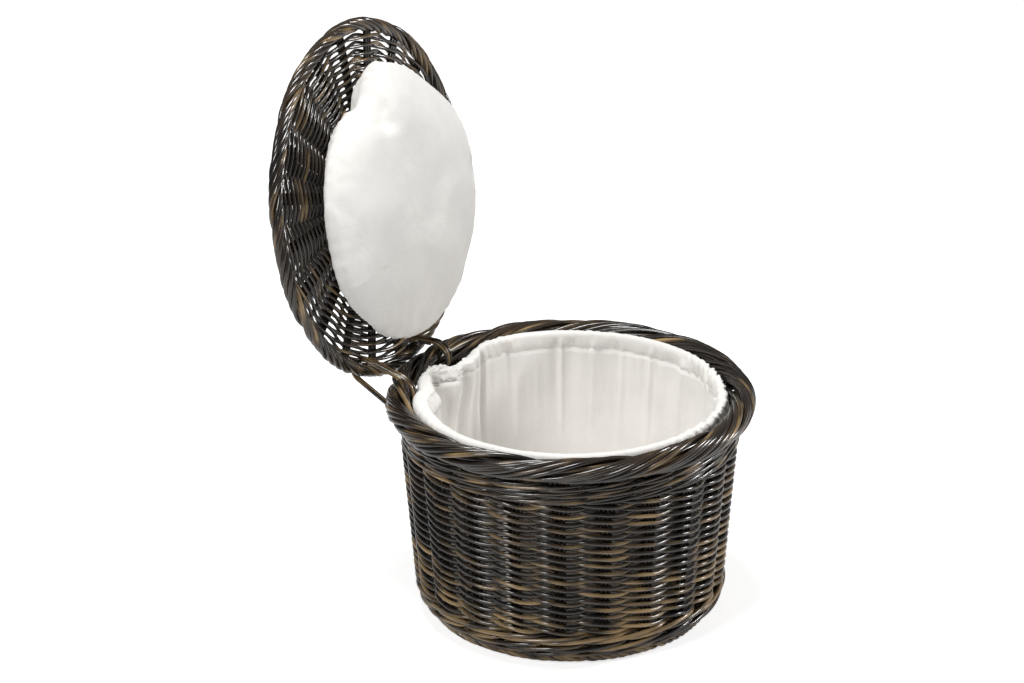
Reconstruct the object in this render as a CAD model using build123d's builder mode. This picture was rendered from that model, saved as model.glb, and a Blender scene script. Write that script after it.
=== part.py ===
from build123d import *
import math
import os

# A round wicker basket with a padded cotton liner and a hinged lid that carries a padded cushion.
# Millimetres. Z is up, the floor is z = 0 and the basket's axis is the Z axis.
# The hinge is at the back (+Y). The lid is drawn open, leaning on its stop.

os.makedirs("parts", exist_ok=True)

# Canes and the stakes, which stand in bundles of three
CANE = 2.8
STAKE = 2.6
STAKE_SPACING = 2.75
STAKES = 22
FIRST_STAKE = 89.2
WEAVE_HALF = CANE + STAKE / 2
CHANNEL_GAP = 0.15

# The stake's path through the middle of the base and the wall
FLOOR_LEVEL = 7.8
FOOT_CORNER = 100.3
WALL_SLOPE = 0.0843
WALL_BEND = 13.5
STAKE_START = 78
STAKE_TOP = 145.5
TUCK_START = 113.6

# Bands of weave on the wall: lowest height, highest height and number of rows
LOWER_WALE = (3.6, 24.5, 3)
COURSES = (24.7, 124.7, 18)
UPPER_WALE = (124.9, 138.4, 3)
LOWER_WALE_INNER = 86.0
BAND_GAP = 0.1
GROOVE = 1.0

# Borders: radius of the ring, height of its middle and radius of its roll
RIM = (116.3, 151.2, 8.7)
FOOT = (90.9, 6.2, 6.5)

# Base
BASE_STICK = 3.0
BASE_STICKS = 5
BASE_STICK_SPACING = 7.5
BASE_STICK_LENGTH = 144
BASE_COURSES = 9
SLATH_RADIUS = 24

# Liner: wadding between an outer cover and a lining, with a gathered hem on top
CLOTH = 0.8
LINER_GAP = 0.5
LINER_WADDING = 5.4
LINER_TOP = 145.0
HEM_RADIUS = 102.35
HEM_WIDTH = 7.7
HEM_HEIGHT = 12.6
HEM_CORNER = 3.5
ELASTIC = 3.0

# Lid, measured as it stands when it is shut
OPEN_ANGLE = 100.7
HINGE_Y = 119.0
HINGE_Z = 154.45
LID_SHUT_Z = 165.7
LID_RING = 117.2
LID_ROLL = 5.2
LID_STAKES = 20
LID_STAKE_START = 44
LID_STAKE_END = 114.0
LID_PANEL_RADIUS = 110.0
LID_WALE_INNER = 101.2
LID_PANEL_LEVEL = 0.9
LID_COURSES = 14
LID_STICK_LENGTH = 80

# Lid pad, a round cushion, as radius, half thickness and depth below the lid's ring
PAD_RADIUS = 97.0
PAD_HALF = 19.0
PAD_DEPTH = 22.6
PAD_ELASTIC_RADIUS = 84.0
PAD_ELASTIC_LEVEL = 8.2

# Outline of the pad from its crown to its rim, as shares of its radius and of its half thickness
PAD_SWELL = (0.37, 0.957)
PAD_SHOULDER = (0.745, 0.83)
PAD_SIDE = (0.92, 0.59)

# Hinge ties: loops of thin cane round both borders
TIE_CANE = 2.2
TIE_STEP = 2.9
TIE_SLACK = 0.6
TIE_LIFT = 1.0
TIE_RELIEF_DEPTH = 30
TIE_RELIEF_BOTTOM = 138.0

# Each tie's place along the hinge and its number of loops
TIES = {"hinge_tie_left": (-46.9, 2), "hinge_tie_right": (18.2, 3)}


def write(shape, name):
    """Label one finished piece and write it under its own name."""
    shape.label = name
    export_step(shape, f"parts/{name}.step")


def wall_corners(outward, start, end=STAKE_TOP):
    """The corners of a line that follows the base and the wall at a distance from the stakes."""
    lean = outward * math.hypot(1, WALL_SLOPE)
    low = FLOOR_LEVEL - outward
    foot = FOOT_CORNER + lean - outward * WALL_SLOPE
    top = FOOT_CORNER + WALL_SLOPE * (end - FLOOR_LEVEL) + lean
    return [(start, low), (foot, low), (top, end)]


def wall_radius(height, outward):
    """Radius of such a line at a height, on its bend as well as above it."""
    bend_top = FLOOR_LEVEL + WALL_BEND
    lean = outward * math.hypot(1, WALL_SLOPE)
    if height >= bend_top:
        return FOOT_CORNER + WALL_SLOPE * (height - FLOOR_LEVEL) + lean
    bend_centre = FOOT_CORNER + WALL_SLOPE * WALL_BEND - WALL_BEND
    return bend_centre + math.sqrt((WALL_BEND + outward) ** 2 - (bend_top - height) ** 2)


def wall_slice(outer, inner, start=STAKE_START, end=STAKE_TOP):
    """The region between two such lines, drawn on the half plane of radius and height."""
    outer_points = wall_corners(outer, start, end)
    inner_points = wall_corners(inner, start, end)
    with BuildSketch(mode=Mode.PRIVATE) as region:
        with BuildLine():
            FilletPolyline(*outer_points, radius=WALL_BEND + outer)
            FilletPolyline(*inner_points, radius=WALL_BEND + inner)
            Line(outer_points[0], inner_points[0])
            Line(outer_points[2], inner_points[2])
        make_face()
    return region.sketch


def height_band(bottom, top, inner=0, outer=150):
    """A rectangle of heights and radii on the same half plane."""
    with BuildSketch(mode=Mode.PRIVATE) as region:
        with Locations((inner, bottom)):
            Rectangle(outer - inner, top - bottom, align=(Align.MIN, Align.MIN))
    return region.sketch


def turned(shape, count, start):
    """Copies of a shape turned round the basket's axis."""
    return [shape.rotate(Axis.Z, start + 360 * i / count) for i in range(count)]


# Stakes: three canes side by side run out through the base, turn up and climb the wall
with BuildPart() as stake_bundle:
    for side in (-1, 0, 1):
        with BuildLine(Plane.XZ.offset(side * STAKE_SPACING)) as stake_path:
            FilletPolyline(*wall_corners(0, STAKE_START), radius=WALL_BEND)
        with BuildSketch(Plane(origin=stake_path.line @ 0, z_dir=stake_path.line % 0)):
            Circle(STAKE / 2)
        sweep(path=stake_path.line)
with BuildPart() as side_stakes:
    add(turned(stake_bundle.part, STAKES, FIRST_STAKE))
write(side_stakes.part, "side_stakes")

# Where the border is laid down, two more canes stand beside each bundle
tuck_low = (wall_radius(TUCK_START, 0), TUCK_START)
tuck_high = (wall_radius(STAKE_TOP, 0), STAKE_TOP)
with BuildPart() as tuck_pair:
    for side in (-2, 2):
        with BuildLine(Plane.XZ.offset(side * STAKE_SPACING)) as tuck_path:
            Line(tuck_low, tuck_high)
        with BuildSketch(Plane(origin=tuck_path.line @ 0, z_dir=tuck_path.line % 0)):
            Circle(STAKE / 2)
        sweep(path=tuck_path.line)
with BuildPart() as tucked_ends:
    add(turned(tuck_pair.part, STAKES, FIRST_STAKE))
write(tucked_ends.part, "tucked_ends")

# The channel that one bundle needs through the weave, wider where the ends are tucked in
channel_half = STAKE / 2 + CHANNEL_GAP
channel_start = STAKE_START - CHANNEL_GAP
channel_end = STAKE_TOP + 2 * CHANNEL_GAP
with BuildPart() as stake_channel:
    with BuildSketch(Plane.XZ):
        add(wall_slice(channel_half, -channel_half, channel_start, channel_end))
    extrude(amount=STAKE_SPACING + channel_half, both=True)
    with BuildSketch(Plane.XZ):
        add(wall_slice(channel_half, -channel_half, channel_start, channel_end))
        add(height_band(TUCK_START - 2 * CHANNEL_GAP, channel_end), mode=Mode.INTERSECT)
    extrude(amount=2 * STAKE_SPACING + channel_half, both=True)
channels = turned(stake_channel.part, STAKES, FIRST_STAKE)


def wall_band(band, inner=0):
    """A band of weave with a groove between its rows, inside and out."""
    bottom, top, rows = band
    with BuildPart() as woven:
        with BuildSketch(Plane.XZ):
            add(wall_slice(WEAVE_HALF, -WEAVE_HALF))
            add(height_band(bottom, top, inner), mode=Mode.INTERSECT)
            for row in range(1, rows):
                level = bottom + (top - bottom) * row / rows
                with Locations((wall_radius(level, WEAVE_HALF), level)):
                    Circle(GROOVE, mode=Mode.SUBTRACT)
                if level > FLOOR_LEVEL + WALL_BEND:
                    with Locations((wall_radius(level, -WEAVE_HALF), level)):
                        Circle(GROOVE, mode=Mode.SUBTRACT)
        revolve(axis=Axis.Z)
        add(channels, mode=Mode.SUBTRACT)
    return woven.part


write(wall_band(LOWER_WALE, LOWER_WALE_INNER), "lower_wale")
write(wall_band(COURSES), "wall_weave")
write(wall_band(UPPER_WALE), "upper_wale")

# Rolled border on the rim, with sockets for the stakes
rim_ring, rim_level, rim_roll = RIM
with BuildPart() as rim_border:
    with BuildSketch(Plane.XZ):
        with Locations((rim_ring, rim_level)):
            Circle(rim_roll)
    revolve(axis=Axis.Z)
    add(channels, mode=Mode.SUBTRACT)
write(rim_border.part, "rim_border")

# Foot border, rolled under the wall and flat where it stands
foot_ring, foot_level, foot_roll = FOOT
with BuildPart() as foot_border:
    with BuildSketch(Plane.XZ):
        with Locations((foot_ring, foot_level)):
            Circle(foot_roll)
        add(height_band(0, FLOOR_LEVEL), mode=Mode.INTERSECT)
        add(wall_slice(WEAVE_HALF, -WEAVE_HALF, 0), mode=Mode.SUBTRACT)
    revolve(axis=Axis.Z)
write(foot_border.part, "foot_border")


def stick_layer(plane, level, count, spacing, length):
    """A layer of straight parallel sticks that lie along the plane's X direction."""
    with BuildPart() as layer:
        with BuildSketch(Plane(plane.from_local_coords((-length / 2, 0, level)), plane.y_dir, plane.x_dir)):
            with GridLocations(spacing, 0, count, 1):
                Circle(BASE_STICK / 2)
        extrude(amount=length)
    return layer.part


# Base: two crossed layers of sticks, woven round in rings
lower_layer = FLOOR_LEVEL - BASE_STICK / 2
upper_layer = FLOOR_LEVEL + BASE_STICK / 2
base_lower = stick_layer(Plane.XY, lower_layer, BASE_STICKS, BASE_STICK_SPACING, BASE_STICK_LENGTH)
base_cross = Plane((0, 0, 0), x_dir=(0, 1, 0), z_dir=(0, 0, 1))
base_upper = stick_layer(base_cross, upper_layer, BASE_STICKS, BASE_STICK_SPACING, BASE_STICK_LENGTH)
write(base_lower, "base_sticks_lower")
write(base_upper, "base_sticks_upper")

base_pitch = (LOWER_WALE_INNER - SLATH_RADIUS) / BASE_COURSES
with BuildPart() as base_weave:
    with BuildSketch(Plane.XZ):
        add(height_band(FLOOR_LEVEL - WEAVE_HALF, FLOOR_LEVEL + WEAVE_HALF, 0, LOWER_WALE_INNER - BAND_GAP))
        for row in range(BASE_COURSES):
            for level in (FLOOR_LEVEL - WEAVE_HALF, FLOOR_LEVEL + WEAVE_HALF):
                with Locations((SLATH_RADIUS + base_pitch * row, level)):
                    Circle(GROOVE, mode=Mode.SUBTRACT)
    revolve(axis=Axis.Z)
    add(base_lower, mode=Mode.SUBTRACT)
    add(base_upper, mode=Mode.SUBTRACT)
    add(channels, mode=Mode.SUBTRACT)
write(base_weave.part, "base_weave")


def tie_ring(ring, roll, x, loops):
    """Where a tie crosses a border: distance of the border's middle and radius of the loops round it."""
    middle = math.sqrt(ring ** 2 - x ** 2)
    half_width = loops * TIE_STEP / 2
    shift = abs(x) * half_width / middle
    return middle, roll * ring / middle + shift + TIE_SLACK + TIE_CANE / 2


# Room for the ties where they pass between the rim and the liner
tie_room = []
for x, loops in TIES.values():
    middle, radius = tie_ring(rim_ring, rim_roll, x, loops)
    nearest = middle - radius - TIE_CANE / 2 - TIE_SLACK
    width = loops * TIE_STEP + 2 * TIE_CANE
    room = Box(width, TIE_RELIEF_DEPTH, TIE_RELIEF_DEPTH, align=(Align.CENTER, Align.MIN, Align.MIN))
    tie_room.append(Pos(x, nearest, TIE_RELIEF_BOTTOM) * room)


def liner_layer(outer, inner):
    """One layer of the liner: a floor and a wall in one piece."""
    with BuildPart() as layer:
        with BuildSketch(Plane.XZ):
            add(wall_slice(-outer, -inner, 0))
            add(height_band(0, LINER_TOP), mode=Mode.INTERSECT)
        revolve(axis=Axis.Z)
        add(tie_room, mode=Mode.SUBTRACT)
    return layer.part


# Liner
cover_face = WEAVE_HALF + LINER_GAP
wadding_face = cover_face + CLOTH
lining_face = wadding_face + LINER_WADDING
write(liner_layer(cover_face, wadding_face), "liner_cover")
write(liner_layer(wadding_face, lining_face), "liner_wadding")
write(liner_layer(lining_face, lining_face + CLOTH), "liner_lining")

# The elastic lies inside the gathered hem
with BuildPart() as liner_elastic:
    with BuildSketch(Plane.XZ):
        with Locations((HEM_RADIUS - HEM_WIDTH / 4, LINER_TOP + HEM_HEIGHT / 2)):
            Circle(ELASTIC / 2)
    revolve(axis=Axis.Z)
write(liner_elastic.part, "liner_elastic")

with BuildPart() as liner_hem:
    with BuildSketch(Plane.XZ):
        with Locations((HEM_RADIUS, LINER_TOP + HEM_HEIGHT / 2)):
            RectangleRounded(HEM_WIDTH, HEM_HEIGHT, HEM_CORNER)
    revolve(axis=Axis.Z)
    add(tie_room, mode=Mode.SUBTRACT)
    add(liner_elastic.part, mode=Mode.SUBTRACT)
write(liner_hem.part, "liner_hem")

# The lid's own planes, turned about the hinge from shut to open
opening = math.radians(OPEN_ANGLE)
lid_up = Vector(0, math.sin(opening), math.cos(opening))
lid_back = Vector(0, math.cos(opening), -math.sin(opening))
lid_centre = Vector(0, HINGE_Y, HINGE_Z) + lid_up * (LID_SHUT_Z - HINGE_Z) - lid_back * HINGE_Y
lid_plane = Plane(lid_centre, x_dir=(1, 0, 0), z_dir=lid_up)
lid_meridian = Plane(lid_centre, x_dir=(1, 0, 0), z_dir=lid_back * -1)
lid_axis = Axis(lid_centre, lid_up)


def lid_spoke(turn, start, level):
    """A plane that faces outward along one of the lid's bundles of stakes."""
    angle = 2 * math.pi * turn / LID_STAKES
    outward = lid_plane.x_dir * math.cos(angle) + lid_plane.y_dir * math.sin(angle)
    origin = lid_centre + outward * start + lid_up * level
    return Plane(origin, x_dir=outward.cross(lid_up), z_dir=outward)


# Room for the ties between the lid's border and its weave
lid_tie_room = []
for x, loops in TIES.values():
    middle, radius = tie_ring(LID_RING, LID_ROLL, x, loops)
    nearest = middle - radius - TIE_CANE / 2 - TIE_SLACK
    width = loops * TIE_STEP + 2 * TIE_CANE
    room = Box(width, TIE_RELIEF_DEPTH, TIE_RELIEF_DEPTH, align=(Align.CENTER, Align.MIN, Align.CENTER))
    lid_tie_room.append(lid_plane * Pos(x, nearest, 0) * room)

# Lid stakes, three canes side by side in each bundle
lid_reach = LID_STAKE_END - LID_STAKE_START
with BuildPart() as lid_stakes:
    for turn in range(LID_STAKES):
        with BuildSketch(lid_spoke(turn, LID_STAKE_START, LID_PANEL_LEVEL)):
            with GridLocations(STAKE_SPACING, 0, 3, 1):
                Circle(STAKE / 2)
        extrude(amount=lid_reach)
write(lid_stakes.part, "lid_stakes")

with BuildPart() as lid_channels:
    for turn in range(LID_STAKES):
        with BuildSketch(lid_spoke(turn, LID_STAKE_START - CHANNEL_GAP, LID_PANEL_LEVEL)):
            Rectangle(2 * (STAKE_SPACING + channel_half), 2 * channel_half)
        extrude(amount=lid_reach + CHANNEL_GAP)

# Crossed sticks in the middle of the lid
lid_cross = Plane(lid_centre, x_dir=lid_plane.y_dir, z_dir=lid_up)
lid_inner_layer = LID_PANEL_LEVEL - BASE_STICK / 2
lid_outer_layer = LID_PANEL_LEVEL + BASE_STICK / 2
lid_lower = stick_layer(lid_plane, lid_inner_layer, BASE_STICKS, BASE_STICK_SPACING, LID_STICK_LENGTH)
lid_upper = stick_layer(lid_cross, lid_outer_layer, BASE_STICKS, BASE_STICK_SPACING, LID_STICK_LENGTH)
write(lid_lower, "lid_sticks_inner")
write(lid_upper, "lid_sticks_outer")


def lid_band(inner, outer, grooves):
    """A ring or disc of the lid's weave with grooves between its rows on both faces."""
    faces = (LID_PANEL_LEVEL - WEAVE_HALF, LID_PANEL_LEVEL + WEAVE_HALF)
    with BuildPart() as woven:
        with BuildSketch(lid_meridian):
            add(height_band(faces[0], faces[1], inner, outer))
            for radius in grooves:
                for level in faces:
                    with Locations((radius, level)):
                        Circle(GROOVE, mode=Mode.SUBTRACT)
        revolve(axis=lid_axis)
        add(lid_channels.part, mode=Mode.SUBTRACT)
        add(lid_lower, mode=Mode.SUBTRACT)
        add(lid_upper, mode=Mode.SUBTRACT)
        add(lid_tie_room, mode=Mode.SUBTRACT)
    return woven.part


lid_pitch = (LID_WALE_INNER - SLATH_RADIUS) / LID_COURSES
weave_grooves = [SLATH_RADIUS + lid_pitch * row for row in range(LID_COURSES)]
wale_groove = (LID_WALE_INNER + LID_PANEL_RADIUS) / 2
write(lid_band(0, LID_WALE_INNER - BAND_GAP, weave_grooves), "lid_weave")
write(lid_band(LID_WALE_INNER, LID_PANEL_RADIUS, [wale_groove]), "lid_wale")

# Lid border
with BuildPart() as lid_border:
    with BuildSketch(lid_meridian):
        with Locations((LID_RING, 0)):
            Circle(LID_ROLL)
    revolve(axis=lid_axis)
    add(lid_channels.part, mode=Mode.SUBTRACT)
write(lid_border.part, "lid_border")


def pad_solid(inset):
    """The cushion or, inset by its skin, the wadding: crowned faces and drawn-in sides."""
    radius = PAD_RADIUS - inset
    half = PAD_HALF - inset
    rim = (radius, -PAD_DEPTH)
    with BuildPart() as cushion:
        with BuildSketch(lid_meridian):
            with BuildLine():
                for face in (half, -half):
                    crown = (0, face - PAD_DEPTH)
                    swell = (radius * PAD_SWELL[0], face * PAD_SWELL[1] - PAD_DEPTH)
                    shoulder = (radius * PAD_SHOULDER[0], face * PAD_SHOULDER[1] - PAD_DEPTH)
                    side = (radius * PAD_SIDE[0], face * PAD_SIDE[1] - PAD_DEPTH)
                    ThreePointArc(crown, swell, shoulder)
                    ThreePointArc(shoulder, side, rim)
                Line((0, half - PAD_DEPTH), (0, -half - PAD_DEPTH))
            make_face()
        revolve(axis=lid_axis)
    return cushion.part


# Lid pad
with BuildPart() as lid_pad_elastic:
    with BuildSketch(lid_meridian):
        with Locations((PAD_ELASTIC_RADIUS, PAD_ELASTIC_LEVEL - PAD_DEPTH)):
            Circle(ELASTIC / 2)
    revolve(axis=lid_axis)
write(lid_pad_elastic.part, "lid_pad_elastic")

pad_inside = pad_solid(CLOTH)
with BuildPart() as lid_pad_cover:
    add(pad_solid(0))
    add(pad_inside, mode=Mode.SUBTRACT)
write(lid_pad_cover.part, "lid_pad_cover")

with BuildPart() as lid_pad_wadding:
    add(pad_inside)
    add(lid_pad_elastic.part, mode=Mode.SUBTRACT)
write(lid_pad_wadding.part, "lid_pad_wadding")


def arc_between(start, tangent, end):
    """The arc that leaves a point along a tangent and ends at another point."""
    chord = end - start
    way = chord.normalized()
    bulge = tangent - way * tangent.dot(way)
    half_angle = math.acos(max(-1, min(1, tangent.dot(way))))
    middle = start + chord * 0.5 + bulge.normalized() * (chord.length / 2 * math.tan(half_angle / 2))
    return ThreePointArc(start, middle, end)


def half_turn(start, tangent, end, end_tangent):
    """Two tangent quarter turns from one straight run to the next."""
    chord = end - start
    both = tangent + end_tangent
    spread = 2 * (1 - tangent.dot(end_tangent))
    reach = (-chord.dot(both) + math.sqrt(chord.dot(both) ** 2 + spread * chord.dot(chord))) / spread
    joint = (start + end + (tangent - end_tangent) * reach) * 0.5
    joint_tangent = (joint - start - tangent * reach).normalized()
    arc_between(start, tangent, joint)
    arc_between(joint, joint_tangent, end)


def hinge_tie(tie_x, loops):
    """One unbroken cane wound round the rim and the lid's border, where they stand behind the rim."""
    rim_reach, rim_radius = tie_ring(rim_ring, rim_roll, tie_x, loops)
    lid_reach_back, lid_radius = tie_ring(LID_RING, LID_ROLL, tie_x, loops)
    at_rim = Vector(tie_x, rim_reach, rim_level + TIE_LIFT)
    at_lid = Vector(tie_x, 0, 0) + lid_centre + lid_back * lid_reach_back
    along = (at_lid - at_rim).normalized()
    across = Vector(1, 0, 0).cross(along)
    apart = (at_lid - at_rim).length
    lean = math.asin((rim_radius - lid_radius) / apart)
    straight = apart * math.cos(lean)
    rim_arc = rim_radius * (math.pi + 2 * lean)
    lid_arc = lid_radius * (math.pi - 2 * lean)
    climb = TIE_STEP / (2 * straight + rim_arc + lid_arc)
    runs = 2 * loops + 1
    x = -loops * TIE_STEP / 2
    ends = []
    for run in range(runs):
        side = 1 if run % 2 == 0 else -1
        outward = along * math.sin(lean) + across * (side * math.cos(lean))
        pair = [at_rim + outward * rim_radius, at_lid + outward * lid_radius]
        if side < 0:
            pair.reverse()
        ends.append((pair[0] + Vector(x, 0, 0), pair[1] + Vector(x + climb * straight, 0, 0)))
        x += climb * (straight + (lid_arc if side > 0 else rim_arc))
    with BuildLine() as winding:
        for start, end in ends:
            Line(start, end)
        for (start, end), (following, after) in zip(ends, ends[1:]):
            half_turn(end, (end - start).normalized(), following, (after - following).normalized())
    path = Wire.combine(winding.edges())[0]
    with BuildPart() as tie:
        with BuildSketch(Plane(origin=path @ 0, z_dir=path % 0)):
            Circle(TIE_CANE / 2)
        sweep(path=path)
    return tie.part, path


def least_gap(path, samples=360):
    """The smallest gap between two turns of a winding, measured on points."""
    points = [path @ (i / samples) for i in range(samples + 1)]
    step = path.length / samples
    apart = int(4 * TIE_CANE / step) + 1
    nearest = min(
        (points[i] - points[j]).length
        for i in range(len(points))
        for j in range(i + apart, len(points))
    )
    return nearest - TIE_CANE


# Hinge ties
for name, (tie_x, loops) in TIES.items():
    tie, path = hinge_tie(tie_x, loops)
    write(tie, name)
    section = math.pi * TIE_CANE ** 2 / 4
    print(name, "length", round(path.length, 1), "least gap", round(least_gap(path), 2))
    print(name, "volume ratio", round(tie.volume / (section * path.length), 4))
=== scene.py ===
# %% [markdown]
# A round wicker basket with a padded cotton liner and a lid that stands open at the back.
# Everything rigid comes from a CAD model, which is loaded first and never moved.
# Blender's share is what a solid model leaves plain: the single canes, the cloth and the finishes.

# %% Load the frame
import math
import random

import bmesh
import bpy
from mathutils import Matrix, Vector, noise


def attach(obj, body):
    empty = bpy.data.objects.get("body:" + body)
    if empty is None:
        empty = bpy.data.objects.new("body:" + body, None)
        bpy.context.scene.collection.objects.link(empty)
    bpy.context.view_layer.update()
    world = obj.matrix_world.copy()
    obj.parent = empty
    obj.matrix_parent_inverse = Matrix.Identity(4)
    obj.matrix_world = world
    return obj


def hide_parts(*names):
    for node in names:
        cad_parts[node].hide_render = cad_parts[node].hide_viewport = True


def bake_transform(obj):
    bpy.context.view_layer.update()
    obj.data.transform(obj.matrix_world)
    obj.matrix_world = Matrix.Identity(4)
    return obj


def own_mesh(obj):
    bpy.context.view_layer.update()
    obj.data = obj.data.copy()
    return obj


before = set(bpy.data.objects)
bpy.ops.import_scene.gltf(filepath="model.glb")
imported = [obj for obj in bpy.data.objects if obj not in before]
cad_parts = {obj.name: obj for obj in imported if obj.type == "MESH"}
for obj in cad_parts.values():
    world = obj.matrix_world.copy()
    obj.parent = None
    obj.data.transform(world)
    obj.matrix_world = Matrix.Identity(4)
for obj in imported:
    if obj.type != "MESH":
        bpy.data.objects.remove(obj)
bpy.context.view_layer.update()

# %% [markdown]
# The photograph was taken from above and to the left of the hinge with a long lens.
# A long lens flattens the view, so the camera stands far back and its angle of view is small.
# The basket's axis is not in the middle of the picture, so the camera is turned a little.

# %% Camera
MM = 0.001
LENS = 153.35
PICTURE = (1024, 683)
TARGET = (570.1, 467.7)
AZIMUTH = math.radians(-62.6)
ELEVATION = math.radians(24.81)
DISTANCE = 2958 * MM
PIXELS = LENS / 36 * PICTURE[0]

ahead = Vector((0, math.cos(ELEVATION), -math.sin(ELEVATION)))
upward = Vector((0, math.sin(ELEVATION), math.cos(ELEVATION)))
stand = Vector((0, 0, 100 * MM)) - ahead * DISTANCE
pan = Matrix.Rotation(math.atan((TARGET[0] - PICTURE[0] / 2) / PIXELS), 3, upward)
right = pan @ Vector((1, 0, 0))
ahead = pan @ ahead
tilt = Matrix.Rotation(math.atan((TARGET[1] - PICTURE[1] / 2) / PIXELS), 3, right)
ahead = tilt @ ahead
upward = tilt @ upward
heading = Matrix((right, upward, -ahead)).transposed().to_4x4()

camera_data = bpy.data.cameras.new("camera")
camera_data.lens = LENS
camera_data.clip_end = 20
camera = bpy.data.objects.new("camera", camera_data)
bpy.context.scene.collection.objects.link(camera)
camera.matrix_world = Matrix.Rotation(AZIMUTH, 4, "Z") @ Matrix.Translation(stand) @ heading
bpy.context.scene.camera = camera
print("camera at", [round(x, 3) for x in camera.matrix_world.translation])

# %% [markdown]
# Shader nodes are quicker to read as arithmetic than as a wiring list.
# One small class wraps a socket, so that 1 - mask or ripple * 0.5 adds the Math nodes itself.
# Any other node comes from its node method: the settings are set first, then the sockets.

# %% Shader arithmetic
class Signal:
    """A shader socket that takes part in Python arithmetic."""

    def __init__(self, tree, socket=None):
        self.tree = tree
        self.socket = socket

    def node(self, kind, settings=None, sockets=None, output=0):
        made = self.tree.nodes.new("ShaderNode" + kind)
        for name, value in (settings or {}).items():
            if name == "stops":
                ramp = made.color_ramp
                while len(ramp.elements) < len(value):
                    ramp.elements.new(0.5)
                for element, (place, colour) in zip(ramp.elements, value):
                    element.position = place
                    element.color = colour
            else:
                setattr(made, name, value)
        for name, value in (sockets or {}).items():
            if isinstance(value, Signal):
                self.tree.links.new(value.socket, made.inputs[name])
            else:
                made.inputs[name].default_value = value
        return Signal(self.tree, made.outputs[output])

    def maths(self, operation, first, second=0.0):
        return self.node("Math", {"operation": operation}, {0: first, 1: second})

    def __add__(self, other):
        return self.maths("ADD", self, other)

    def __radd__(self, other):
        return self.maths("ADD", other, self)

    def __sub__(self, other):
        return self.maths("SUBTRACT", self, other)

    def __rsub__(self, other):
        return self.maths("SUBTRACT", other, self)

    def __mul__(self, other):
        return self.maths("MULTIPLY", self, other)

    def __rmul__(self, other):
        return self.maths("MULTIPLY", other, self)

    def smooth(self, low, high):
        settings = {"interpolation_type": "SMOOTHSTEP"}
        return self.node("MapRange", settings, {"Value": self, "From Min": low, "From Max": high})

    def tint(self, dark, light):
        """A colour between two others, with this signal as the share of the second."""
        return self.node("Mix", {"data_type": "RGBA"}, {0: self, 6: dark, 7: light}, 2)


def new_finish(name):
    """An empty material, its shader and a signal to build from."""
    material = bpy.data.materials.new(name)
    material.use_nodes = True
    shader = material.node_tree.nodes["Principled BSDF"]
    return material, shader, Signal(material.node_tree)


def feed(signal, shader, socket):
    signal.tree.links.new(signal.socket, shader.inputs[socket])


# %% [markdown]
# The canes are extruded plastic that imitates rattan. Each is nearly black, with brown and
# golden streaks that run along it for a few centimetres, under a gloss that is not quite even.
# The streaks follow the cane, so they read two values that each cane's mesh carries: how far
# along the cane a point lies, and a number that differs from cane to cane.

# %% Cane finish
BLACK_CANE = (0.006, 0.0042, 0.003, 1)
BROWN_CANE = (0.036, 0.024, 0.0145, 1)
TAN_CANE = (0.36, 0.24, 0.11, 1)


def streaks(signal, along, own, around):
    """Long noise along a cane, fine noise across it."""
    place = signal.node("CombineXYZ", None, {"X": along * 22, "Y": own * 91, "Z": around})
    return signal.node("TexNoise", None, {"Vector": place, "Scale": 1.0, "Detail": 2.0})


def cane_finish(name, tan_share=0.0, low_tan=0.0):
    """The finish of a cane whose mesh knows its length and number; low_tan adds tan at the foot."""
    material, shader, signal = new_finish(name)
    along = signal.node("Attribute", {"attribute_name": "run"}, None, 2)
    own = signal.node("Attribute", {"attribute_name": "cane"}, None, 2)
    turn = signal.node("SeparateXYZ", None, {0: signal.node("UVMap", {"uv_map": "UVMap"})}, 1)
    object_place = signal.node("TexCoord", None, None, 3)
    height = signal.node("SeparateXYZ", None, {0: object_place}, 2)
    patch = signal.node("TexNoise", None, {"Vector": object_place, "Scale": 11.0, "Detail": 1.0})
    broad = streaks(signal, along, own, 0.0)
    fine = streaks(signal, along, own, turn * 5)
    brown = (broad * 0.6 + patch * 0.4).smooth(0.37, 0.56)
    share = (1 - height.smooth(0.02, 0.10)) * low_tan + patch * 0.22 - 0.11 + tan_share
    tan = (broad * 0.75 + fine * 0.25 + share).smooth(0.53, 0.71)
    feed(tan.tint(brown.tint(BLACK_CANE, BROWN_CANE), TAN_CANE), shader, "Base Color")
    feed(0.16 + fine * 0.10, shader, "Roughness")
    grain_place = signal.node("CombineXYZ", None, {"X": along * 160, "Y": own * 37, "Z": turn * 14})
    grain = signal.node("TexNoise", None, {"Vector": grain_place, "Scale": 1.0, "Detail": 3.0})
    bump = signal.node("Bump", None, {"Strength": 0.12, "Distance": 0.0003, "Height": grain})
    feed(bump, shader, "Normal")
    shader.inputs["Specular IOR Level"].default_value = 0.65
    shader.inputs["Coat Weight"].default_value = 0.6
    shader.inputs["Coat Roughness"].default_value = 0.11
    return material


CANE = cane_finish("cane")
CANE_WARM = cane_finish("cane_with_more_tan", 0.02, 0.09)
CANE_TIE = cane_finish("cane_of_the_ties", 0.07)
print("cane finishes:", CANE.name, CANE_WARM.name, CANE_TIE.name)

# %% [markdown]
# The stakes are straight solids from the CAD model. Their meshes carry no values of their own,
# so their streaks read the object's coordinates, squeezed along the upright direction.

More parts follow.
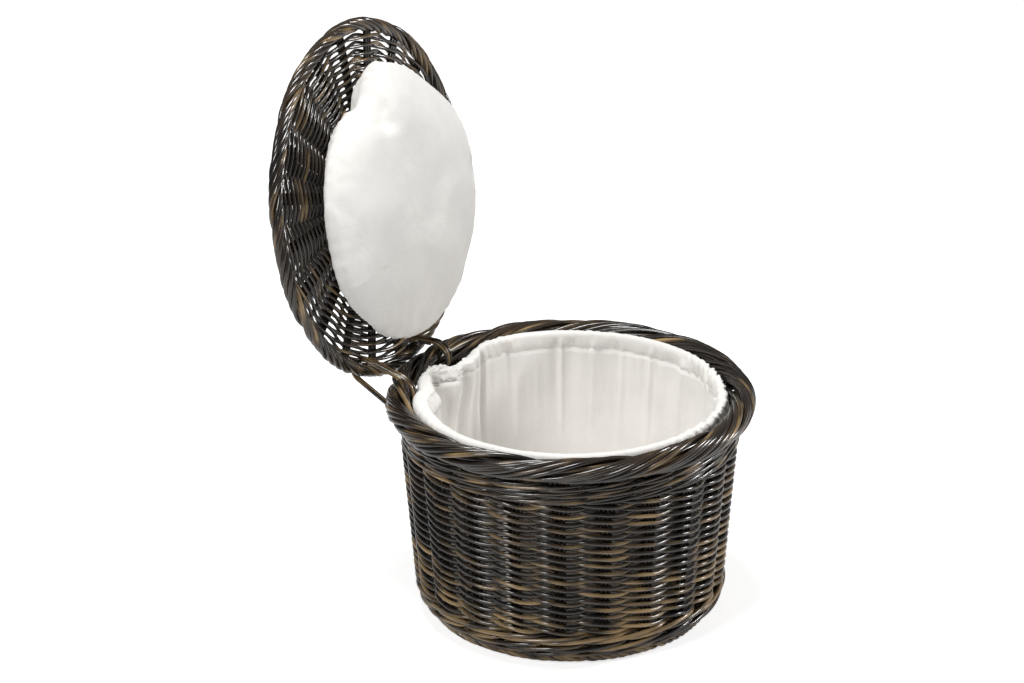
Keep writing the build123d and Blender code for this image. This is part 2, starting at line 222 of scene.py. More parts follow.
# %% Stake finish
def stake_finish(name, stretch):
    material, shader, signal = new_finish(name)
    place = signal.node("TexCoord", None, None, 3)
    scaled = signal.node("Mapping", None, {"Vector": place, "Scale": stretch})
    wide = signal.node("TexNoise", None, {"Vector": scaled, "Scale": 1.0, "Detail": 3.0})
    feed(wide.smooth(0.42, 0.75).tint(BLACK_CANE, BROWN_CANE), shader, "Base Color")
    feed(0.26 + wide * 0.14, shader, "Roughness")
    bump = signal.node("Bump", None, {"Strength": 0.3, "Distance": 0.0003, "Height": wide})
    feed(bump, shader, "Normal")
    shader.inputs["Coat Weight"].default_value = 0.2
    shader.inputs["Coat Roughness"].default_value = 0.25
    return material


STAKE_UPRIGHT = stake_finish("stake_upright", (420, 420, 26))
STAKE_FLAT = stake_finish("stake_flat", (90, 90, 260))
for node in ("side_stakes", "tucked_ends"):
    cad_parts[node].data.materials.clear()
    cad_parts[node].data.materials.append(STAKE_UPRIGHT)
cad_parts["lid_stakes"].data.materials.clear()
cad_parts["lid_stakes"].data.materials.append(STAKE_FLAT)

# %% [markdown]
# A cane is a round bar bent along a path, which is what a bevelled curve makes.
# Blender numbers the mesh of such a curve path by path, so the length along each path and the
# cane's own number can be written to the mesh right after it is made.
# The open ends of a cane are closed with a flat face, as a cut end has.

# %% Canes from paths
SIDES = 8


def canes(name, paths, thickness, closed, finish):
    """One piece that holds a bent round cane for each path of points in millimetres."""
    curve = bpy.data.curves.new(name, "CURVE")
    curve.dimensions = "3D"
    curve.bevel_depth = thickness / 2 * MM
    curve.bevel_resolution = SIDES // 2 - 2
    for path in paths:
        spline = curve.splines.new("POLY")
        spline.points.add(len(path) - 1)
        for point, place in zip(spline.points, path):
            point.co = (*(place * MM), 1)
        spline.use_cyclic_u = closed
    mesh = bpy.data.meshes.new_from_object(bpy.data.objects.new(name + "_path", curve))
    mesh.name = name
    run = mesh.attributes.new("run", "FLOAT", "POINT")
    own = mesh.attributes.new("cane", "FLOAT", "POINT")
    numbers = random.Random(name)
    vertex = 0
    for path in paths:
        number = numbers.random()
        length = numbers.uniform(0, 4)
        for here, before in zip(path, [path[0]] + path):
            length += (here - before).length * MM
            for _ in range(SIDES):
                run.data[vertex].value = length
                own.data[vertex].value = number
                vertex += 1
    if not closed:
        shell = bmesh.new()
        shell.from_mesh(mesh)
        bmesh.ops.holes_fill(shell, edges=[e for e in shell.edges if e.is_boundary], sides=SIDES)
        shell.to_mesh(mesh)
        shell.free()
    mesh.shade_smooth()
    mesh.materials.append(finish)
    piece = bpy.data.objects.new(name, mesh)
    bpy.context.scene.collection.objects.link(piece)
    print(name, "canes", len(paths), "faces", len(mesh.polygons))
    return piece


# %% [markdown]
# Real canes never lie quite evenly. A slow wave with its own phase for every cane moves it by a
# tenth or two of a millimetre. The wave closes on itself, so a ring has no step in it.

# %% Unevenness
chance = random.Random(20)


def unevenness(amount):
    """A slow wave round the ring, different for each call."""
    waves = [(n, chance.uniform(0, 2 * math.pi), chance.uniform(0.3, 1)) for n in (3, 7, 12)]
    return lambda angle: amount * sum(w * math.sin(n * angle + p) for n, p, w in waves) / 2


# %% [markdown]
# The weave follows the stakes: out through the base, round the bend and up the wall, which leans
# outward. The wall's line gives a radius, a height and the direction that faces outward.
# The same three values describe the flat base, so one weaving function serves both.

# %% The line of the wall
LEAN = math.atan(0.0843)
BEND = 13.5
BEND_TURN = math.pi / 2 - LEAN
BEND_START = 100.3 - BEND * math.tan(BEND_TURN / 2)
FLOOR = 7.8


def wall_line(along):
    """Radius, height and outward direction at a distance along the stakes from the bend's start."""
    if along < 0:
        return BEND_START + along, FLOOR, 0, -1
    if along < BEND * BEND_TURN:
        turn = along / BEND
        out, up = math.sin(turn), -math.cos(turn)
        return BEND_START + BEND * out, FLOOR + BEND + BEND * up, out, up
    radius, height, out, up = wall_line(BEND * BEND_TURN - 1e-9)
    rest = along - BEND * BEND_TURN
    return radius + rest * math.sin(LEAN), height + rest * math.cos(LEAN), out, up


def along_for(height):
    """How far along the wall's line a height above the bend lies."""
    bend_top = wall_line(BEND * BEND_TURN)[1]
    return BEND * BEND_TURN + (height - bend_top) / math.cos(LEAN)


def on_line(line, along, out, angle):
    radius, height, out_radius, out_height = line(along)
    radius += out * out_radius
    return Vector((radius * math.cos(angle), radius * math.sin(angle), height + out * out_height))


# %% [markdown]
# Nearly all of the wall is pairing: two canes go round together and change places between the
# stakes, so that each stake has one in front and one behind. Where they cross, the cane that
# comes forward lies higher and further out. Over a stake it bows out by 3 mm.

# %% Pairing
STAKES = 22
FIRST_STAKE = math.radians(89.2)
STEPS = 8


def flattened(wave, power):
    """A wave with broader crests, as a stiff cane makes over a wide bundle."""
    return math.copysign(abs(wave) ** power, wave)


def pairing(line, along, stakes, first, bow, cross, lift):
    """The two paths of one row of pairing."""
    paths = []
    for cane in (0, 1):
        drift, bulge = unevenness(0.16), unevenness(0.14)
        path = []
        for i in range(stakes * STEPS):
            turn = math.pi * (i / STEPS + cane)
            angle = first + i / STEPS * 2 * math.pi / stakes
            out = bow * flattened(math.cos(turn), 0.8) - cross * math.sin(turn) + bulge(angle)
            rise = -lift * flattened(math.sin(turn), 0.7) + drift(angle)
            path.append(on_line(line, along + rise, out, angle))
        paths.append(path)
    return paths


ROWS = 18
WEAVE_LOW, WEAVE_HIGH = 24.7, 124.7
ROW_PITCH = (WEAVE_HIGH - WEAVE_LOW) / ROWS
wall_paths = []
for row in range(ROWS):
    along = along_for(WEAVE_LOW + ROW_PITCH * (row + 0.5))
    wall_paths += pairing(wall_line, along, STAKES, FIRST_STAKE, bow=3.0, cross=0.45, lift=1.35)
wall = canes("wall_pairing", wall_paths, 2.8, True, CANE_WARM)
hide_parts("wall_weave")
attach(wall, "basket")

# %% [markdown]
# At the foot and below the rim the weave is a wale: three canes, each going in front of two
# stakes and behind one. On the outside it shows long strokes that climb to the right.
# Twenty-two stakes can't be shared out in threes, so after one lap each cane runs on into the next.

# %% Waling
def waling(along, bow, lift):
    """One row of waling on the wall: the three canes join up to one path of three laps."""
    drift, bulge = unevenness(0.14), unevenness(0.12)
    path = []
    for i in range(STAKES * STEPS * 3):
        turn = (i / STEPS + 0.5) % 3
        angle = FIRST_STAKE + i / STEPS * 2 * math.pi / STAKES
        if turn < 2:
            out = bow * flattened(math.sin(math.pi * turn / 2), 0.45)
            rise = -lift * math.cos(math.pi * turn / 2)
        else:
            out = -bow * flattened(math.sin(math.pi * (turn - 2)), 0.7)
            rise = lift * math.cos(math.pi * (turn - 2))
        path.append(on_line(wall_line, along + rise + drift(angle), out + bulge(angle), angle))
    return path


UPPER_ROWS = 3
UPPER_LOW, UPPER_HIGH = 124.9, 139.6
upper_paths = []
for row in range(UPPER_ROWS):
    level = UPPER_LOW + (UPPER_HIGH - UPPER_LOW) * (row + 0.5) / UPPER_ROWS
    upper_paths.append(waling(along_for(level), 2.8, 1.7))
upper = canes("upper_waling", upper_paths, 2.55, True, CANE_WARM)
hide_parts("upper_wale")
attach(upper, "basket")

LOWER_ROWS = 4
LOWER_START, LOWER_END = -1.0, 24.4
lower_paths = []
for row in range(LOWER_ROWS):
    along = LOWER_START + (LOWER_END - LOWER_START) * (row + 0.5) / LOWER_ROWS
    lower_paths.append(waling(along, 3.2, 2.0))
lower = canes("lower_waling", lower_paths, 3.0, True, CANE_WARM)
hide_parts("lower_wale")
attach(lower, "basket")

# %% [markdown]
# The rim ends in a rolled border. Every bundle of stakes is bent down as a flat ribbon and wound
# round a core with its neighbours, so the border is a rope of ribbons that climb at a low angle
# over the outer face, cross the top and dive inside. Every second ribbon lies a little deeper
# and runs a little further, so the ribbons cross. A few canes run inside the roll as its core.

# %% Rolled borders
def rolled(ring, level, roll, ribbons, canes_each, sweep, start, thickness,
           full=1.0, hand=1, weave=1.0):
    """Paths that wind round a ring's roll, in ribbons, while they travel along the ring.

    In one full turn a cane travels sweep degrees along the ring, and it begins start degrees
    round the roll's section. The part of a turn that it makes is full, and weave says how much
    deeper and further every second ribbon goes.
    """
    sweep, start = math.radians(sweep), math.radians(start)
    paths = []
    count = ribbons * canes_each
    for cane in range(count):
        ribbon = cane // canes_each
        under = ribbon % 2
        if cane % canes_each == 0:
            ribbon_reach = sweep * (chance.uniform(0.95, 1.03) + 0.14 * under * weave)
            ribbon_shift = chance.uniform(-0.3, 0.3) * weave
        off_middle = cane % canes_each - (canes_each - 1) / 2
        place = cane + ribbon_shift - 0.35 * off_middle * under * weave
        head = 2 * math.pi * place / count
        deep = (0.9 * under + chance.uniform(0, 0.25)) * weave
        steps = int(30 * full) + 2
        path = []
        for i in range(steps + 1):
            share = i / steps
            bite = max(0, abs(share - 0.5) - 0.42) * 9
            radius = roll - thickness / 2 - deep - bite
            section = start + 2 * math.pi * full * share
            angle = head + hand * ribbon_reach * full * share
            across = ring + radius * math.cos(section)
            height = level + radius * math.sin(section)
            path.append(Vector((across * math.cos(angle), across * math.sin(angle), height)))
        paths.append(path)
    return paths


RIM_RING, RIM_LEVEL, RIM_ROLL, RIM_CORE = 116.3, 151.2, 8.8, 5.3
rim_paths = rolled(RIM_RING, RIM_LEVEL, RIM_ROLL, STAKES, 3, sweep=72, start=-120, thickness=3.2)
rim_paths += rolled(RIM_RING, RIM_LEVEL, RIM_CORE, STAKES, 1, sweep=100, start=-120, thickness=3.3)
rim = canes("rim_roll", rim_paths, 3.25, False, CANE)
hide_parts("rim_border")
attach(rim, "basket")

# %% [markdown]
# The foot is rolled the other way: its canes come down from the wall, run to the right round the
# outside and turn under. Underneath they are pressed level, because the basket stands on them.

# %% Foot border
FOOT_RING, FOOT_LEVEL, FOOT_ROLL, FOOT_CANE = 91.1, 6.3, 6.3, 2.9
FOOT_LOWEST = 1.5
foot_rolls = rolled(FOOT_RING, FOOT_LEVEL, FOOT_ROLL, STAKES, 4, sweep=36, start=170,
                    thickness=FOOT_CANE, full=0.75, hand=-1, weave=0.3)
foot_paths = [[Vector((p.x, p.y, max(p.z, FOOT_LOWEST))) for p in path] for path in foot_rolls]
foot = canes("foot_roll", foot_paths, FOOT_CANE, False, CANE_WARM)
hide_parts("foot_border")
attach(foot, "basket")

# %% [markdown]
# The base starts from two crossed layers of five sticks. Their ends are spread like the spokes
# of a wheel, and pairing goes round them. The base is only seen from below.

# %% Sticks and spokes
SPOKES = 20


def spread_sticks(half_length, tied, thickness):
    """Two crossed layers of five sticks whose ends fan out to twenty spokes."""
    layers = ([], [])
    for layer in (0, 1):
        quarter = layer * math.pi / 2
        for stick in range(-2, 3):
            near = Vector((tied, stick * 4.2, 0))
            fan = 2 * math.pi / SPOKES * stick
            far = Vector((half_length * math.cos(fan), half_length * math.sin(fan), 0))
            other_near, other_far = Vector((-near.x, near.y, 0)), Vector((-far.x, far.y, 0))
            path = [other_far, other_far.lerp(other_near, 0.8), other_near]
            path += [near, far.lerp(near, 0.8), far]
            rise = Vector((0, 0, thickness * (layer - 0.5)))
            turned = Matrix.Rotation(quarter, 3, "Z")
            heights = [1 if p.length < tied + 6 else 0.1 for p in path]
            layers[layer].append([turned @ p + rise * h for p, h in zip(path, heights)])
    return layers


def moved(paths, place):
    return [[place @ p for p in path] for path in paths]


def base_line(along):
    return along, FLOOR, 0, -1


STICK = 3.0
low_sticks, high_sticks = spread_sticks(72, 20, STICK)
on_floor = Matrix.Translation((0, 0, FLOOR))
sticks = canes("base_spokes", moved(low_sticks + high_sticks, on_floor), STICK, False, CANE)
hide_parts("base_sticks_lower", "base_sticks_upper")
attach(sticks, "basket")

BASE_ROWS, BASE_FIRST, BASE_PITCH = 10, 24.5, 6.1
base_paths = []
for row in range(BASE_ROWS):
    along = BASE_FIRST + BASE_PITCH * row
    base_paths += pairing(base_line, along, SPOKES, math.pi / SPOKES, bow=2.6, cross=0.4, lift=1.3)
base = canes("base_pairing", base_paths, 2.8, True, CANE)
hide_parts("base_weave")
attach(base, "basket")

# %% [markdown]
# The lid is woven flat and then given the same rolled border as the rim. It is made lying on its
# back round its own middle, and then put in place by one matrix, which holds the open angle.

# %% Place of the lid
OPEN = math.radians(100.7)
HINGE = Vector((0, 119.0, 154.45))
LID_SHUT = 165.7
lid_up = Vector((0, math.sin(OPEN), math.cos(OPEN)))
lid_back = Vector((0, math.cos(OPEN), -math.sin(OPEN)))
lid_centre = HINGE + lid_up * (LID_SHUT - HINGE.z) - lid_back * HINGE.y
ON_LID = Matrix((Vector((1, 0, 0)), lid_back, lid_up)).transposed().to_4x4()
ON_LID.translation = lid_centre
print("lid centre", [round(x, 1) for x in lid_centre])

# %% [markdown]
# Twenty bundles of stakes run out from the middle of the lid to its border. The rows of pairing
# go round them, and small holes stay open at both sides of every bundle. The last two rows,
# next to the border, lie a little wider apart.

# %% Lid panel
PANEL = 0.9


def panel_line(along):
    return along, PANEL, 0, 1


LID_ROWS = 16
LID_LOW, LID_HIGH = 24.0, 101.2
panel_paths = []
for row in range(LID_ROWS):
    along = LID_LOW + (LID_HIGH - LID_LOW) * (row + 0.5) / LID_ROWS
    panel_paths += pairing(panel_line, along, SPOKES, 0, bow=2.8, cross=0.4, lift=1.2)
panel = canes("lid_pairing", moved(panel_paths, ON_LID), 2.6, True, CANE)
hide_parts("lid_weave")
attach(panel, "lid")

EDGE_ROWS, EDGE_FIRST, EDGE_PITCH = 2, 104.3, 5.3
edge_paths = []
for row in range(EDGE_ROWS):
    along = EDGE_FIRST + EDGE_PITCH * row
    edge_paths += pairing(panel_line, along, SPOKES, 0, bow=2.7, cross=0.4, lift=1.3)
edge = canes("lid_waling", moved(edge_paths, ON_LID), 2.5, True, CANE)
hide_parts("lid_wale")
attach(edge, "lid")

lid_low, lid_high = spread_sticks(46, 16, STICK)
on_panel = ON_LID @ Matrix.Translation((0, 0, PANEL))
lid_spokes = canes("lid_spokes", moved(lid_low + lid_high, on_panel), STICK, False, CANE)
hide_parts("lid_sticks_inner", "lid_sticks_outer")
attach(lid_spokes, "lid")

LID_RING, LID_ROLL, LID_CORE, LID_CANE = 117.2, 5.3, 2.7, 3.5
lid_rolls = rolled(LID_RING, 0, LID_ROLL, SPOKES, 4, sweep=32, start=150,
                   thickness=LID_CANE, hand=-1, weave=0.7)
lid_rolls += rolled(LID_RING, 0, LID_CORE, 10, 1, sweep=80, start=150, thickness=3.0, hand=-1)
lid_rim = canes("lid_roll", moved(lid_rolls, ON_LID), LID_CANE, False, CANE_WARM)
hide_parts("lid_border")
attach(lid_rim, "lid")

# %% [markdown]
# The cloth is unbleached cotton. Close up it has a fine plain weave, which only shows as a soft
# tooth in raking light, and it is slightly warmer where it is in shade.

# %% Cotton finish
def cotton_finish(name, colour):
    material, shader, signal = new_finish(name)
    place = signal.node("TexCoord", None, None, 3)
    thread = signal.node("TexNoise", None, {"Vector": place, "Scale": 900.0, "Detail": 2.0})
    cloud = signal.node("TexNoise", None, {"Vector": place, "Scale": 28.0, "Detail": 3.0})
    shade = tuple(c * 0.93 for c in colour[:3]) + (1,)
    feed((cloud * 0.7 + thread * 0.3).smooth(0.35, 0.62).tint(shade, colour), shader, "Base Color")
    shader.inputs["Roughness"].default_value = 0.92
    shader.inputs["Sheen Weight"].default_value = 0.25
    shader.inputs["Sheen Roughness"].default_value = 0.5
    crush = {"Vector": place, "Scale": 38.0, "Detail": 3.0, "Distortion": 1.4}
    wrinkle = signal.node("TexNoise", None, crush)
    height = thread * 0.12 + wrinkle
    bump = signal.node("Bump", None, {"Strength": 0.35, "Distance": 0.0022, "Height": height})
    feed(bump, shader, "Normal")
    return material


COTTON = cotton_finish("cotton", (0.86, 0.84, 0.805, 1))
THREAD = cotton_finish("sewing_thread", (0.86, 0.845, 0.815, 1))

# %% [markdown]
# The liner is a padded bag with a floor. Its outline is drawn once and spun round the basket's
# axis. Beside the hinge the hem is tied back, so the cloth cuts the corner there and falls in
# deep folds. Elsewhere the wadding only makes shallow upright puckers that fade downwards.

# %% Liner
def near(angle, middle, width):
    """1 at an angle and 0 well away from it."""
    away = math.remainder(angle - middle, 2 * math.pi)
    return math.exp(-((away / width) ** 2))


def bumps(angle, rows):
    """A sum of such bumps, given in degrees: where, how wide and how high."""
    return sum(near(angle, math.radians(at), math.radians(wide)) * high for at, wide, high in rows)


def fade(value, low, high):
    share = max(0.0, min(1.0, (value - low) / (high - low)))
    return share * share * (3 - 2 * share)


def ripple(angle, seed, fineness):
    """Irregular puckers round the ring, from -1 to 1."""
    place = Vector((math.cos(angle), math.sin(angle), seed)) * fineness
    return noise.noise(place) * 1.6


def puckers(angle, height):
    """The shallow upright puckers of the padded wall."""
    fine = ripple(angle, 4.1, 22) * 0.35 * fade(height, 30, LINER_TOP)
    return ripple(angle + height * 0.0006, 1.3, 7) * 1.3 + fine


# How far the hem stands inward beside the hinge, and the folds that run down from there.
# Each row holds the angle and the width in degrees, and the depth in millimetres.
TIED_BACK = ((80, 14, 9.5), (93, 5, -1.5), (113.8, 7, 3.6))
FOLDS = (
    (117, 14, 8.5), (98.5, 2.4, -7.0), (89, 5.5, 7.0), (81, 2.2, -3.0),
    (75, 4, 2.5), (66.8, 1.2, -3.5), (70, 2, 2.5), (142, 14, 4.0),
)
CREASES = (
    (31, 0.9, 1.9), (33, 1.6, -1.2), (18, 1.0, 0.9), (6, 1.2, 1.3),
    (-7, 0.9, 2.2), (-9.5, 1.8, -1.3), (-24, 1.2, 1.5), (50, 1.3, 1.3),
)


def liner_point(along, inward):
    """A point of the liner's outline: along the wall's line, inward from it."""
    radius, height, out, up = wall_line(along)
    return Vector((radius - inward * out, 0, height - inward * up))


OUTER, INNER, LINER_TOP = 4.75, 11.5, 145.0
CORNER = BEND * BEND_TURN
WALL_TOP = along_for(LINER_TOP)
outer_wall = [0.5 * CORNER * i / 3 for i in range(7)]
outer_wall += [CORNER + (WALL_TOP - CORNER) * i / 30 for i in range(1, 31)]
outline = [Vector((1e-4, 0, FLOOR + OUTER)), Vector((40, 0, FLOOR + OUTER))]
outline += [liner_point(along, OUTER) for along in outer_wall]
outline += [liner_point(along, INNER) for along in reversed(outer_wall)]
outline += [Vector((radius, 0, FLOOR + INNER)) for radius in (60, 30, 1e-4)]


def spun(name, points, steps, closed):
    """A shell spun round the Z axis from an outline in the XZ plane."""
    shell = bmesh.new()
    corners = [shell.verts.new(p * MM) for p in points]
    edges = [shell.edges.new(pair) for pair in zip(corners, corners[1:])]
    if closed:
        edges.append(shell.edges.new((corners[-1], corners[0])))
    bmesh.ops.spin(shell, geom=corners + edges, axis=(0, 0, 1), cent=(0, 0, 0), dvec=(0, 0, 0),
                   angle=2 * math.pi, steps=steps, use_merge=True, use_duplicate=False)
    bmesh.ops.remove_doubles(shell, verts=shell.verts, dist=0.02 * MM)
    bmesh.ops.recalc_face_normals(shell, faces=shell.faces)
    mesh = bpy.data.meshes.new(name)
    shell.to_mesh(mesh)
    shell.free()
    mesh.shade_smooth()
    piece = bpy.data.objects.new(name, mesh)
    bpy.context.scene.collection.objects.link(piece)
    return piece


FLOOR_ENDS = (19, 26)
liner = spun("liner", outline, 540, False)
for vertex in liner.data.vertices:
    place = vertex.co / MM
    radius = math.hypot(place.x, place.y)
    if radius < 1:
        continue
    angle = math.atan2(place.y, place.x)
    face = wall_line(along_for(max(place.z, 22)))[0]
    on_wall = fade(place.z, *FLOOR_ENDS)
    inner_side = fade(face - radius, OUTER + 1, INNER - 1) * on_wall
    high = fade(place.z, 30, LINER_TOP)
    upper = fade(place.z, 100, 146)
    lean_in = bumps(angle, FOLDS) * high + bumps(angle, CREASES) * fade(place.z, 60, 130)
    push = inner_side * (puckers(angle, place.z) * (0.35 + 0.65 * high) + lean_in + 0.5)
    push = max(push, -1.8) + bumps(angle, TIED_BACK) * upper * (0.55 + 0.45 * inner_side)
    vertex.co.x -= push * math.cos(angle) * MM
    vertex.co.y -= push * math.sin(angle) * MM
    on_floor_top = (1 - on_wall) * fade(place.z, 15, 19)
    vertex.co.z += on_floor_top * ripple(angle, radius / 30, 3) * 0.6 * MM
liner.data.materials.append(COTTON)
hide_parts("liner_cover", "liner_wadding", "liner_lining")
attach(liner, "basket")
print("liner faces", len(liner.data.polygons))

# %% [markdown]
# The liner's top is a hem with elastic in it. On one side the elastic draws the cloth into many
# small pleats, elsewhere the band is nearly smooth. Where it is tied back it is pinched together
# and sags beside the pinch. Its lower inner edge follows the folds and puckers of the wall, and
# a line of stitches runs round there, where the hem is sewn to the lining.

# %% Hem
HEM_MIDDLE, HEM_LEVEL = 102.9, 150.9
HEM_HALF_WIDTH, HEM_HALF_HEIGHT = 3.5, 6.2
SEAM_AT = math.radians(205)
PINCH = math.radians(92.5)
PLEATED = ((-68, 34, 1.0), (60, 12, 0.3))
DROOP = ((84, 6, 5.0), (74, 5, 3.0))


def seam(angle):
    """Where the stitches run on the section: inside, but higher where the hem rolls outward."""
    return SEAM_AT - math.radians(62) * bumps(angle, ((128, 26, 1.0),))


def hem_point(section, angle):
    """A point of the hem's rounded, gathered section."""
    power = 0.62 if section < math.pi else 0.34
    across = flattened(math.cos(section), power)
    up = flattened(math.sin(section), power)
    pleated = 0.15 + 0.85 * bumps(angle, PLEATED) + 0.2 * ripple(angle, 5.5, 3)
    gather = ripple(angle + section * 0.03, 2.2, 34) * 1.3
    gather += ripple(angle - section * 0.03, 7.7, 70) * 0.7
    pinched = near(angle, PINCH, 0.06)
    groove = near(section, seam(angle), 0.15) * 0.5 + pinched * 2.0
    crumple = ripple(angle, section * 0.8, 26) * near(angle, PINCH, 0.17) * 2.2
    swell = (gather - 0.6) * max(pleated, 0) + crumple - groove
    sway = ripple(angle, 9.1, 5) * 0.5
    sewn = fade(-across, 0.2, 1) * fade(-up, -0.6, 0.6)
    slack = bumps(angle, FOLDS) * (0.25 - 0.35 * across + 0.4 * sewn)
    slack += (bumps(angle, CREASES) + puckers(angle, LINER_TOP)) * sewn
    inward = bumps(angle, TIED_BACK) + slack - min(sway, 0)
    radius = HEM_MIDDLE + (HEM_HALF_WIDTH + min(swell, 0.5)) * across - inward
    droop = bumps(angle, DROOP) * (0.5 + 0.5 * up)
    height = HEM_LEVEL + (HEM_HALF_HEIGHT + min(swell, 0.8)) * up + sway * 0.5 - droop
    height += pinched * max(up, 0) * 2.5
    return Vector((radius * math.cos(angle), radius * math.sin(angle), height))


HEM_STEPS, HEM_SECTION = 900, 40
ring = [Vector((HEM_MIDDLE + math.cos(2 * math.pi * i / HEM_SECTION), 0,
                HEM_LEVEL + math.sin(2 * math.pi * i / HEM_SECTION))) for i in range(HEM_SECTION)]
hem = spun("liner_gathered_hem", ring, HEM_STEPS, True)
for vertex in hem.data.vertices:
    place = vertex.co / MM
    angle = math.atan2(place.y, place.x)
    section = math.atan2(place.z - HEM_LEVEL, math.hypot(place.x, place.y) - HEM_MIDDLE)
    vertex.co = hem_point(section % (2 * math.pi), angle) * MM
hem.data.materials.append(COTTON)
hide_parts("liner_hem", "liner_elastic")
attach(hem, "basket")

stitches = []
STITCHES, STITCH_SHARE = 190, 0.62
for i in range(STITCHES):
    angle = 2 * math.pi * i / STITCHES
    ends = [angle + share * 2 * math.pi / STITCHES * STITCH_SHARE for share in (0, 0.5, 1)]
    ends = [hem_point(seam(end), end) for end in ends]
    stitches.append([p - Vector((p.x, p.y, 0)).normalized() * 0.1 for p in ends])
sewing = canes("hem_stitches", stitches, 0.55, False, THREAD)
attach(sewing, "basket")

# %% [markdown]
# The cushion in the lid is stuffed tight. Cloth simulation gives it its shape: a copy that is a
# little too small is blown up from inside for twenty frames, and no point may move further than
# a cap. Its outline is not a true circle, because an elastic behind it pulls two shoulders in
# beside the top. The same elastic makes the gathers at its back edge.

# %% Cushion
PAD_RADIUS, PAD_HALF, PAD_DEPTH = 97.0, 19.0, 22.6
SHRUNK = 4.5
CAP = 6.0
BLOWN_FRAMES = 20
SHOULDERS = (
    (47, 24, 8.5), (89, 10, -4.0), (108, 10, 10.0),
    (122, 12, 4.5), (150, 26, 4.5), (184, 16, 3.5),
)


def cushion_outline(inset):
    """Half of the cushion's section: crowned faces that meet in a drawn-in edge."""
    radius, half = PAD_RADIUS - inset, PAD_HALF - inset
    points = []
    for i in range(-24, 25):
        turn = math.pi / 2 * i / 24
        across = radius * flattened(math.cos(turn), 0.60) if abs(i) < 24 else 1e-4
        points.append(Vector((across, 0, half * flattened(math.sin(turn), 0.80))))
    return points


def apply_modifiers(piece):
    """Make what the modifiers show the piece's own mesh."""
    bpy.context.view_layer.update()
    shown = piece.evaluated_get(bpy.context.evaluated_depsgraph_get())
    mesh = bpy.data.meshes.new_from_object(shown)
    piece.modifiers.clear()
    piece.data = mesh


pad = spun("lid_cushion", cushion_outline(SHRUNK), 96, False)
for vertex in pad.data.vertices:
    angle = math.atan2(-vertex.co.y, vertex.co.x)
    narrower = 1 - bumps(angle, SHOULDERS) / PAD_RADIUS
    vertex.co.x *= narrower
    vertex.co.y *= narrower
remesh = pad.modifiers.new("even", "REMESH")
remesh.mode = "VOXEL"
remesh.voxel_size = 5 * MM
apply_modifiers(pad)
cloth = pad.modifiers.new("cloth", "CLOTH")
cloth.settings.quality = 5
cloth.settings.use_pressure = True
cloth.settings.uniform_pressure_force = 4
cloth.settings.effector_weights.gravity = 0
start = [v.co.copy() for v in pad.data.vertices]
for number in range(1, BLOWN_FRAMES + 1):
    bpy.context.scene.frame_set(number)
apply_modifiers(pad)
for vertex, before in zip(pad.data.vertices, start):
    move = vertex.co - before
    if move.length > CAP * MM:
        vertex.co = before + move.normalized() * CAP * MM
bpy.context.scene.frame_set(1)
finer = pad.modifiers.new("finer", "SUBSURF")
finer.levels = finer.render_levels = 1
apply_modifiers(pad)
print("cushion", [round(x / MM, 1) for x in pad.dimensions], "faces", len(pad.data.polygons))

# %% [markdown]
# The simulation leaves the cushion a little too small and too smooth. Its edge is let out to
# its full width, and an elastic behind it draws the cloth into gathers, most of them at one side
# of the top.

# %% Gathers of the cushion
BACK_LOW, BACK_HIGH, ELASTIC_LEVEL = -4, 10, 8.2
STRETCH = 5.0
GATHERED = ((116, 20, 1.7), (200, 30, 0.4), (-10, 22, 0.3))
reach = {}
for vertex in pad.data.vertices:
    place = vertex.co / MM
    radius = math.hypot(place.x, place.y)
    angle = math.atan2(-place.y, place.x)
    edge = (0.5 + 0.5 * fade(place.z, BACK_LOW, BACK_HIGH)) * fade(radius, 64, 90)
    gathered = 0.3 + bumps(angle, GATHERED)
    pleats = (ripple(angle, 3.3, 20) * 1.4 + ripple(angle, 8.8, 44) * 0.9) * edge * gathered
    dimple = ripple(place.x / 60, place.y / 60 + 5, 2.2) * 0.6
    pull = math.exp(-(((place.z - ELASTIC_LEVEL) / 3) ** 2)) * fade(radius, 60, 84) * 1.6
    scale = max(0, radius + pleats - pull + STRETCH * fade(radius, 50, 92)) / max(radius, 1e-6)
    sector = round(math.degrees(angle) / 15) * 15
    reach[sector] = max(reach.get(sector, 0), round(radius * scale, 1))
    level = place.z + dimple * fade(radius, 100, 60) - PAD_DEPTH
    vertex.co = (ON_LID @ Vector((place.x * scale, place.y * scale, level))) * MM
pad.data.shade_smooth()
pad.data.materials.clear()
pad.data.materials.append(COTTON)
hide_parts("lid_pad_cover", "lid_pad_wadding", "lid_pad_elastic")
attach(pad, "lid")
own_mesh(pad)
print("cushion reach", dict(sorted(reach.items())))

# %% [markdown]
# The lid hangs on two ties, one of two loops and one of three. Each is a thin cane wound round
# both borders, so a turn is a straight run, an arc round one border, a run back and an arc round
# the other. The two borders differ in thickness, so the runs lean together towards the lid.

# %% Hinge ties
TIE_STEP, TIE_CANE, TIE_SLACK, TIE_LIFT = 2.9, 2.2, 0.6, 1.0
SOLID_RIM_ROLL, SOLID_LID_ROLL = 8.7, 5.2
TIES = (("left", -46.9, 2), ("right", 18.2, 3))


def crossing(ring, roll, x, loops):
    """Where a tie crosses a border: distance of the border's middle and radius of the loops."""
    middle = math.sqrt(ring ** 2 - x ** 2)
    slant = abs(x) * loops * TIE_STEP / 2 / middle
    return middle, roll * ring / middle + slant + TIE_SLACK + TIE_CANE / 2


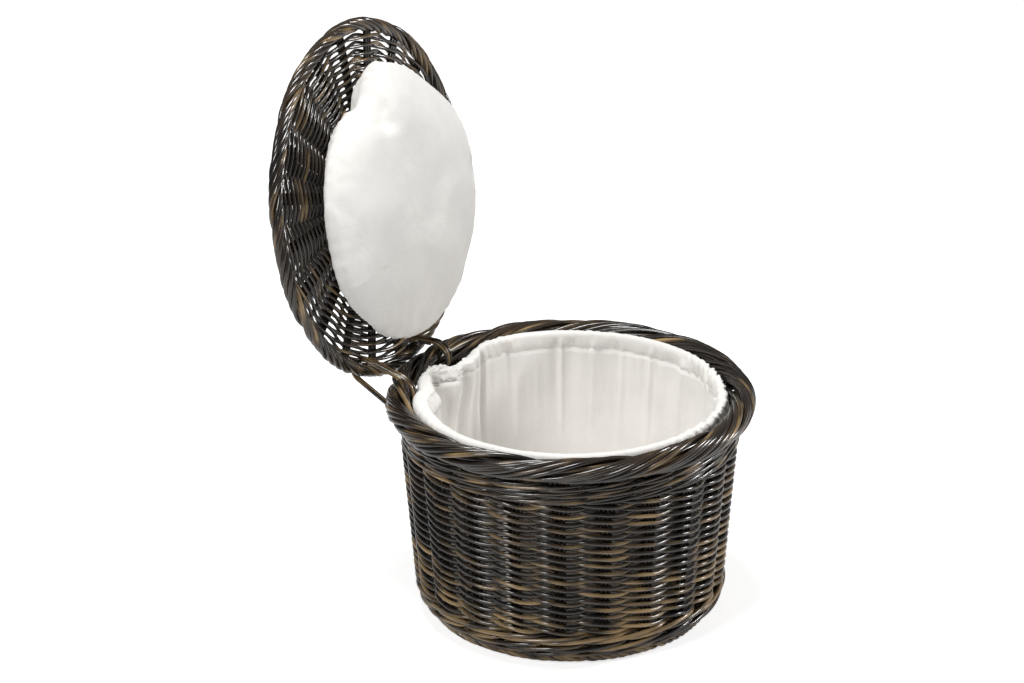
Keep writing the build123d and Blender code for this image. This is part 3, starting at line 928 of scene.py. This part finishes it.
def winding(x, loops):
    """The points of one tie, and where it turns round the rim and round the lid's border."""
    rim_y, rim_radius = crossing(RIM_RING, SOLID_RIM_ROLL, x, loops)
    lid_y, lid_radius = crossing(LID_RING, SOLID_LID_ROLL, x, loops)
    rim_end = Vector((x, rim_y, RIM_LEVEL + TIE_LIFT))
    lid_end = Vector((x, 0, 0)) + lid_centre + lid_back * lid_y
    way = (lid_end - rim_end).normalized()
    across = Vector((1, 0, 0)).cross(way)
    lean = math.asin((rim_radius - lid_radius) / (lid_end - rim_end).length)
    turn = []
    for middle, radius, start, sweep in (
        (lid_end, lid_radius, math.pi / 2 - lean, -(math.pi - 2 * lean)),
        (rim_end, rim_radius, lean - math.pi / 2, -(math.pi + 2 * lean)),
    ):
        for i in range(17):
            angle = start + sweep * i / 16
            turn.append(middle + way * radius * math.cos(angle) + across * radius * math.sin(angle))
    turns = turn[-1:] + turn * loops + turn[:1]
    lengths = [0.0]
    for before, after in zip(turns, turns[1:]):
        lengths.append(lengths[-1] + (after - before).length)
    path = []
    for point, length in zip(turns, lengths):
        path.append(point + Vector((TIE_STEP * loops * (length / lengths[-1] - 0.5), 0, 0)))
    return path, rim_end, lid_end


for word, x, loops in TIES:
    path, rim_end, lid_end = winding(x, loops)
    tie = canes("tie_" + word, [path], TIE_CANE, False, CANE_TIE)
    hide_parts("hinge_tie_" + word)
    rim_end * MM
    lid_end * MM
    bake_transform(tie)

# %% [markdown]
# The picture was taken on a white ground in soft light from above. The floor is a pale sheet,
# and where the camera sees it directly it is raised to white, so that only the shadow shows.

# %% Floor and light
floor_mesh = bpy.data.meshes.new("floor")
floor_shape = bmesh.new()
bmesh.ops.create_grid(floor_shape, x_segments=1, y_segments=1, size=6)
floor_shape.to_mesh(floor_mesh)
floor_shape.free()
floor = bpy.data.objects.new("floor", floor_mesh)
bpy.context.scene.collection.objects.link(floor)

floor_finish, floor_shader, signal = new_finish("floor")
floor_shader.inputs["Base Color"].default_value = (0.74, 0.74, 0.74, 1)
floor_shader.inputs["Roughness"].default_value = 0.9
direct = signal.node("LightPath", None, None, 0)
feed(direct.tint((0, 0, 0, 1), (0.7, 0.7, 0.7, 1)), floor_shader, "Emission Color")
floor_shader.inputs["Emission Strength"].default_value = 1.0
floor.data.materials.append(floor_finish)

world = bpy.data.worlds.new("studio")
bpy.context.scene.world = world
world.use_nodes = True
signal = Signal(world.node_tree)
seen = signal.node("LightPath", None, None, 0)
background = world.node_tree.nodes["Background"]
background.inputs["Color"].default_value = (1, 1, 1, 1)
signal.tree.links.new((0.14 + seen * 0.86).socket, background.inputs["Strength"])


def lamp(name, side, ahead_of, height, size, power):
    """A square soft lamp that looks at the basket, placed as the camera sees it."""
    data = bpy.data.lights.new(name, "AREA")
    data.size = size
    data.energy = power
    made = bpy.data.objects.new(name, data)
    bpy.context.scene.collection.objects.link(made)
    place = Matrix.Rotation(AZIMUTH, 3, "Z") @ Vector((side, -ahead_of, height))
    made.location = place
    made.rotation_mode = "QUATERNION"
    made.rotation_quaternion = (Vector((0, 0, 0.15)) - place).to_track_quat("-Z", "Y")
    return made


lamp("top", -0.2, 0.1, 1.8, 0.55, 20)
lamp("front_left", -1.0, 1.3, 1.3, 0.5, 15)
lamp("right", 1.5, -0.15, 0.8, 0.3, 12)

bpy.context.scene.view_settings.view_transform = "Standard"
